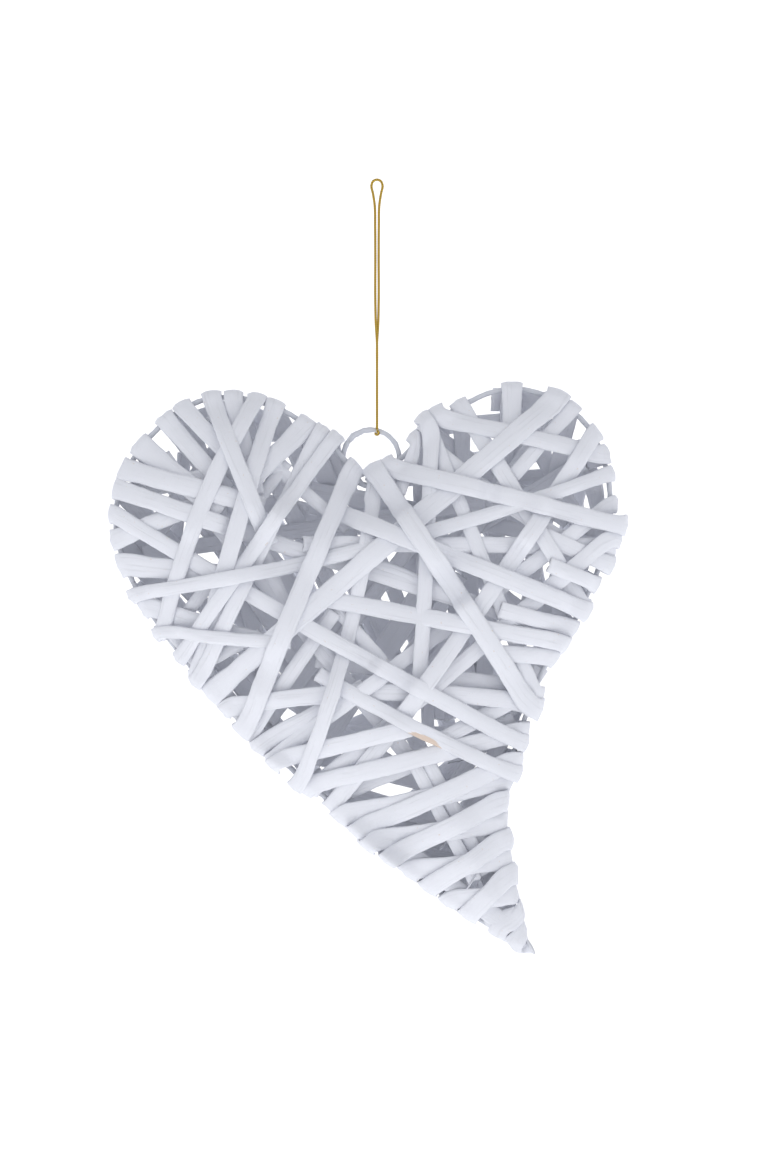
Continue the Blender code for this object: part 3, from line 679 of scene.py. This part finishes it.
class Strip:
    """One willow strip, drawn through cross lines: their middles, half widths and outward ways."""

    def __init__(self, name, lines, number, look):
        self.name = name
        self.seed = 11.7 * number + 3.1
        self.look = look
        self.resample(lines)

    @classmethod
    def from_solid(cls, node, number, look):
        """The strip of a node, from its solid's sections."""
        lines = [(sum(section, Vector()) / 4, ((section[0] - section[1]) + (section[3] - section[2])) / 4,
                  (section[3] + section[2] - section[0] - section[1]).normalized())
                 for section in ribbon_sections(node)]
        if sum(up.y * middle.y for middle, _, up in lines) < 0:
            lines = [(middle, -half, -up) for middle, half, up in lines]
        return cls(node + "_willow", lines, number, look)

    @classmethod
    def inside(cls, spec, number, look, pillow):
        """A straight strip inside the basket, under the front's or the back's skin."""
        start, end = photo_place(spec[:2]), photo_place(spec[2:4])
        under, width = abs(spec[4]) / 1000, spec[5] / 1000
        side = Vector((0, math.copysign(1, spec[4]), 0))
        ahead = (end - start).normalized()
        half = side.cross(ahead) * (width / 2)
        steps = max(2, round((end - start).length / INNER_STEP))
        lines = []
        for k in range(steps + 1):
            point = start.lerp(end, k / steps)
            lines.append((point + side * max(0.0, pillow.height(point) - under), half, side))
        return cls(f"inner_strip_{number:02d}", lines, number + 0.5, look)

    def resample(self, lines):
        """Smooth courses of the middles, half widths and outward ways, in step with each other."""
        packed = [np.array([*middle, *half, *up]) for middle, half, up in lines]
        gaps = [max((b[0] - a[0]).length, 1e-6) for a, b in zip(lines, lines[1:])]
        rows = np.array(smooth_rows(packed, gaps, self.look.spacing))
        # A curve may swing out a little between two lines: it stays as deep as the solids are
        thick = self.look.thickness / 2
        rows[:, 1] = rows[:, 1].clip(CAD_BOX[0][1] + thick, CAD_BOX[1][1] - thick)
        self.middles = [Vector(row[:3]) for row in rows]
        self.halves = [Vector(row[3:6]) for row in rows]
        self.ups = [Vector(row[6:]).normalized() for row in rows]

    def edge(self, travel, half, side):
        """How far a section reaches to one side, with the waves and nicks of the strip's edge."""
        waves = sum(weight * noise.noise(Vector((travel * pace, self.seed + side, 5.0)))
                    for pace, weight in EDGE_WAVES)
        return half * (1 + self.look.waviness * waves)

    def section(self, travel, half, crowned):
        """Offsets across and up of the corners round one section, and their shares across."""
        edges = {side: self.edge(travel, half, side) for side in (-1, 1)}
        points = []
        for k in range(STRIP_SIDES):
            turn = 2 * math.pi * (k + 0.5) / STRIP_SIDES
            share = math.copysign(abs(math.cos(turn)) ** EDGE_SQUARENESS, math.cos(turn))
            rise = math.copysign(abs(math.sin(turn)) ** FACE_FLATNESS, math.sin(turn))
            height = self.look.thickness / 2 * rise
            if rise > 0:
                ridge = (noise.noise(Vector((travel * 24.0, share * 1.9 + self.seed, 9.0)))
                         + 0.7 * noise.noise(Vector((travel * 130.0, share * 0.8 + self.seed, 4.0))))
                height += (self.look.crown * (1 - share**2) + self.look.ridges * ridge) * crowned
            points.append((share * edges[math.copysign(1, share)], height, (share + 1) / 2))
        return points

    def travels(self):
        """The distance along the strip of every section."""
        return list(itertools.accumulate(((b - a).length for a, b in zip(self.middles, self.middles[1:])),
                                         initial=0.0))

    def nearest(self, point):
        """The distance along the strip of the section on the front that is nearest to a point."""
        front = [(travel, middle) for travel, middle in zip(self.travels(), self.middles) if middle.y < 0]
        return min(front, key=lambda pair: (pair[1].xz - point.xz).length)[0]

    def build(self, material, origin=0.0):
        """The strip's mesh, its map's first number counted from a given distance along it."""
        corners, places = [], []
        count = len(self.middles)
        for k, travel in enumerate(self.travels()):
            flare = max(0.0, 1 - abs(self.middles[k].y) / self.look.flare_reach) * self.look.flare
            half = self.halves[k].length * (1 + flare)
            across = self.halves[k].normalized()
            up = (self.ups[k] - across * self.ups[k].dot(across)).normalized()
            ahead = (self.middles[min(k + 1, count - 1)] - self.middles[max(k - 1, 0)]).normalized()
            from_end = min(k, count - 1 - k)
            frayed = self.look.fray * max(0.0, 1 - from_end / FRAY_SECTIONS) * (-1 if k < count / 2 else 1)
            knob = self.look.knob * max(0.0, 1 - abs(self.middles[k].y) / KNOB_REACH)
            crowned = min(1.0, from_end / CROWN_SECTIONS + CROWN_AT_END)
            for side, height, share in self.section(travel, half, crowned):
                if height > 0:
                    bump = noise.noise(Vector((share * 3.5, self.seed, travel * 420.0)))
                    height += knob * (KNOB_LEVEL + bump)
                torn = frayed * (noise.noise(Vector((share * 5.0, self.seed, from_end * 0.2))) - 0.3)
                corners.append(self.middles[k] + across * side + up * height + ahead * torn)
                places.append((travel - origin, share))
        piece = new_piece(self.name, corners, ring_faces(count, STRIP_SIDES, False), material)
        set_strip_map(piece, places)
        return piece


def tube(name, course, radius, look, material, seed):
    """A closed wire of painted metal, with the paint's lumps on it, thickest round the ring's joint."""
    corners = []
    count = len(course)
    side = Vector((0, 1, 0))
    joint = photo_place(JOINT_PIXEL)
    for k, point in enumerate(course):
        ahead = (course[(k + 1) % count] - course[k - 1]).normalized()
        side = (side - ahead * side.dot(ahead)).normalized()
        other = ahead.cross(side)
        lumps = look.lumps * (1 + JOINT_GROWTH * math.exp(-((point - joint).length / JOINT_REACH)**2))
        for j in range(look.sides):
            turn = 2 * math.pi * j / look.sides
            way = side * math.cos(turn) + other * math.sin(turn)
            place = point + way * radius
            rough = noise.noise(place * 330.0 + Vector((seed, 0, 0))) + 0.6 * noise.noise(place * 800.0)
            corners.append(point + way * (radius + lumps * (rough + LUMP_LEVEL)))
    return new_piece(name, corners, ring_faces(count, look.sides, True), material)


def thread(name, course, look, material):
    """A twisted thread along a course: its section has a lobe for each ply, and turns as it goes."""
    corners, places = [], []
    travel = 0.0
    side = Vector((0, 1, 0))
    for k, point in enumerate(course):
        before = course[max(k - 1, 0)]
        after = course[min(k + 1, len(course) - 1)]
        ahead = (after - before).normalized()
        side = (side - ahead * side.dot(ahead)).normalized()
        other = ahead.cross(side)
        travel += (point - before).length
        for j in range(THREAD_SIDES):
            turn = 2 * math.pi * j / THREAD_SIDES
            lobe = abs(math.cos((turn - 2 * math.pi * travel / look.pitch) * look.plies / 2))
            reach = look.diameter / 2 * (THREAD_CORE + THREAD_LOBE * lobe)
            corners.append(point + (side * math.cos(turn) + other * math.sin(turn)) * reach)
            # The map's second number is the lobe share, which places the painted shade in the grooves between
            # the plies.
            places.append((travel, lobe))
    piece = new_piece(name, corners, ring_faces(len(course), THREAD_SIDES, False), material)
    set_strip_map(piece, places)
    return piece


def cord_course(look):
    """The thread's course: up from the ring's front, round the top of the loop and down behind."""
    strand = [Vector(point) / 1000 for point in CORD_STRAND]
    middle = [RING_DEPTH * point.z / -CORD_DROP for point in strand]
    other = [Vector((-p.x, 2 * y - p.y, p.z)) for p, y in zip(reversed(strand), reversed(middle))]
    top = Vector((0, 0, look.diameter / 2))
    return smooth_course(strand + [top] + other, THREAD_STEP)


def hitch_course(look):
    """The thread's half turn round the ring's wire, from the front strand's end to the back strand's."""
    low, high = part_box("cord_hitch")
    reach = (high[1] - low[1]) / 2 - look.diameter / 2
    centre = Vector(((low[0] + high[0]) / 2, (low[1] + high[1]) / 2, low[2] + look.diameter / 2 + reach))
    course = []
    for k in range(HITCH_STEPS + 1):
        turn = math.pi * k / HITCH_STEPS
        aside = HITCH_WIDTH / 2 * math.sin(2 * turn)
        course.append(centre + Vector((aside, -math.cos(turn) * reach, -math.sin(turn) * reach)))
    return course


def ring_course(centre, reach):
    """A round wire's course in the heart's plane."""
    turns = [2 * math.pi * k / RING_STEPS for k in range(RING_STEPS)]
    return [centre + Vector((math.sin(turn), 0, math.cos(turn))) * reach for turn in turns]


class WICKER_HEART_OT_cord(bpy.types.Operator):
    """Lay the doubled thread from the ring up to its loop, and its turn round the ring"""

    bl_idname = "wicker_heart.cord"
    bl_label = "Hang the Thread"

    def execute(self, context):
        look = context.scene.heart_thread
        material = thread_finish(look)
        hitch = thread("cord_hitch_thread", hitch_course(look), look, material)
        dress(hitch, "cord_hitch")
        course = cord_course(look)
        cord = thread("hanging_cord_thread", course, look, material)
        dress(cord, "hanging_cord")
        length = sum((b - a).length for a, b in zip(course, course[1:]))
        return {"FINISHED"}


class WICKER_HEART_OT_wires(bpy.types.Operator):
    """Draw the heart's frame and the ring as painted wire"""

    bl_idname = "wicker_heart.wires"
    bl_label = "Paint the Wires"

    def execute(self, context):
        look = context.scene.heart_wire
        material = wire_finish(look)
        for number, node in enumerate(WIRES):
            low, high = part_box(node)
            radius = (high[1] - low[1]) / 2
            if node == "hanging_ring":
                course = ring_course((Vector(low) + Vector(high)) / 2, (high[0] - low[0]) / 2 - radius)
            else:
                centres = tube_centres(node)
                course = smooth_course(centres + centres[:1], FRAME_STEP)[:-1]
            dress(tube(node + "_painted", course, radius, look, material, 7.0 * number), node)
        return {"FINISHED"}


class WICKER_HEART_OT_willow(bpy.types.Operator):
    """Draw every willow strip from its solid"""

    bl_idname = "wicker_heart.willow"
    bl_label = "Wind the Willow"

    def execute(self, context):
        look = context.scene.heart_willow
        plain = willow_finish(look)
        for number, node in enumerate(WILLOW):
            strip = Strip.from_solid(node, number, look)
            if node == WORN_STRIP:
                piece = strip.build(willow_finish(look, True), strip.nearest(photo_place(WORN_PIXEL)))
            else:
                piece = strip.build(plain)
            dress(piece, node)
        pillow = Pillow(tube_centres("heart_frame"))
        for number, spec in enumerate(INNER_STRIPS):
            dress(Strip.inside(spec, number, look, pillow).build(plain))
        return {"FINISHED"}


class WICKER_HEART_OT_studio(bpy.types.Operator):
    """Set the pale floor and backdrop, the soft lights and the camera"""

    bl_idname = "wicker_heart.studio"
    bl_label = "Set the Studio"

    def execute(self, context):
        look = context.scene.heart_studio
        self.add_sweep(look)
        self.add_lights(context, look)
        self.add_camera(context, look)
        return {"FINISHED"}

    def add_sweep(self, look):
        """A floor that curves up into a backdrop."""
        profile = [(FLOOR_FRONT, look.floor_height)]
        for k in range(BEND_STEPS + 1):
            turn = math.pi / 2 * k / BEND_STEPS
            profile.append((BACKDROP - BEND_RADIUS * (1 - math.sin(turn)),
                            look.floor_height + BEND_RADIUS * (1 - math.cos(turn))))
        profile.append((BACKDROP, BACKDROP_TOP))
        corners = [(side * SWEEP_HALF, y, z) for y, z in profile for side in (-1, 1)]
        faces = [(2 * k, 2 * k + 1, 2 * k + 3, 2 * k + 2) for k in range(len(profile) - 1)]
        paper = Finish("studio_paper")
        paper.set(base_color=colour(look.paper), roughness=0.9, emission_color=(1.0, 1.0, 1.0, 1.0),
                  emission_strength=look.glow)
        new_piece("studio_sweep", corners, faces, paper.material)

    def add_lights(self, context, look):
        """Soft light from all round and two large lamps."""
        world = bpy.data.worlds.new("studio_world")
        world.use_nodes = True
        background = world.node_tree.nodes["Background"]
        background.inputs["Color"].default_value = colour(look.air)
        background.inputs["Strength"].default_value = look.sky
        context.scene.world = world
        for name, place, size, share in LAMPS:
            lamp = bpy.data.lights.new(name, "AREA")
            lamp.size = size
            lamp.energy = look.key * share
            holder = bpy.data.objects.new(name, lamp)
            context.scene.collection.objects.link(holder)
            holder.location = place
            aim = Vector(LAMP_AIM) - Vector(place)
            holder.rotation_euler = aim.to_track_quat("-Z", "Y").to_euler()

    def add_camera(self, context, look):
        """A camera square to the heart's plane that frames it as the photograph does."""
        lens = bpy.data.cameras.new("front_camera")
        lens.sensor_fit = "VERTICAL"
        lens.sensor_height = SENSOR_HEIGHT
        lens.lens = lens.sensor_height * look.camera_distance / (PHOTO_SIZE[1] * METRES_PER_PIXEL)
        lens.clip_end = 50.0
        holder = bpy.data.objects.new("front_camera", lens)
        context.scene.collection.objects.link(holder)
        x = (PHOTO_SIZE[0] / 2 - LOOP_PIXEL[0]) * METRES_PER_PIXEL
        z = (LOOP_PIXEL[1] - PHOTO_SIZE[1] / 2) * METRES_PER_PIXEL
        holder.location = (x, -look.camera_distance, z)
        holder.rotation_euler = (math.pi / 2, 0.0, 0.0)
        context.scene.camera = holder
        context.scene.view_settings.view_transform = "Standard"


class WICKER_HEART_PT_panel(bpy.types.Panel):
    """The heart's pieces and their sizes"""

    bl_idname = "WICKER_HEART_PT_panel"
    bl_label = "Wicker Heart"
    bl_space_type = "VIEW_3D"
    bl_region_type = "UI"
    bl_category = "Wicker Heart"

    def draw(self, context):
        for operator, group in STEPS:
            box = self.layout.box()
            box.operator(operator.bl_idname)
            settings = getattr(context.scene, group)
            for key in type(settings).__annotations__:
                box.prop(settings, key)


STEPS = (
    (WICKER_HEART_OT_studio, "heart_studio"),
    (WICKER_HEART_OT_cord, "heart_thread"),
    (WICKER_HEART_OT_wires, "heart_wire"),
    (WICKER_HEART_OT_willow, "heart_willow"),
)
GROUPS = {
    "heart_studio": WickerHeartStudio,
    "heart_thread": WickerHeartThread,
    "heart_wire": WickerHeartWire,
    "heart_willow": WickerHeartWillow,
}


def register():
    for group, kind in GROUPS.items():
        bpy.utils.register_class(kind)
        setattr(bpy.types.Scene, group, PointerProperty(type=kind))
    for operator, _ in STEPS:
        bpy.utils.register_class(operator)
    bpy.utils.register_class(WICKER_HEART_PT_panel)


def unregister():
    bpy.utils.unregister_class(WICKER_HEART_PT_panel)
    for operator, _ in reversed(STEPS):
        bpy.utils.unregister_class(operator)
    for group, kind in GROUPS.items():
        delattr(bpy.types.Scene, group)
        bpy.utils.unregister_class(kind)


def main():
    register()
    bpy.ops.wicker_heart.studio()
    bpy.ops.wicker_heart.cord()
    bpy.ops.wicker_heart.wires()
    bpy.ops.wicker_heart.willow()


if __name__ == "__main__":
    main()
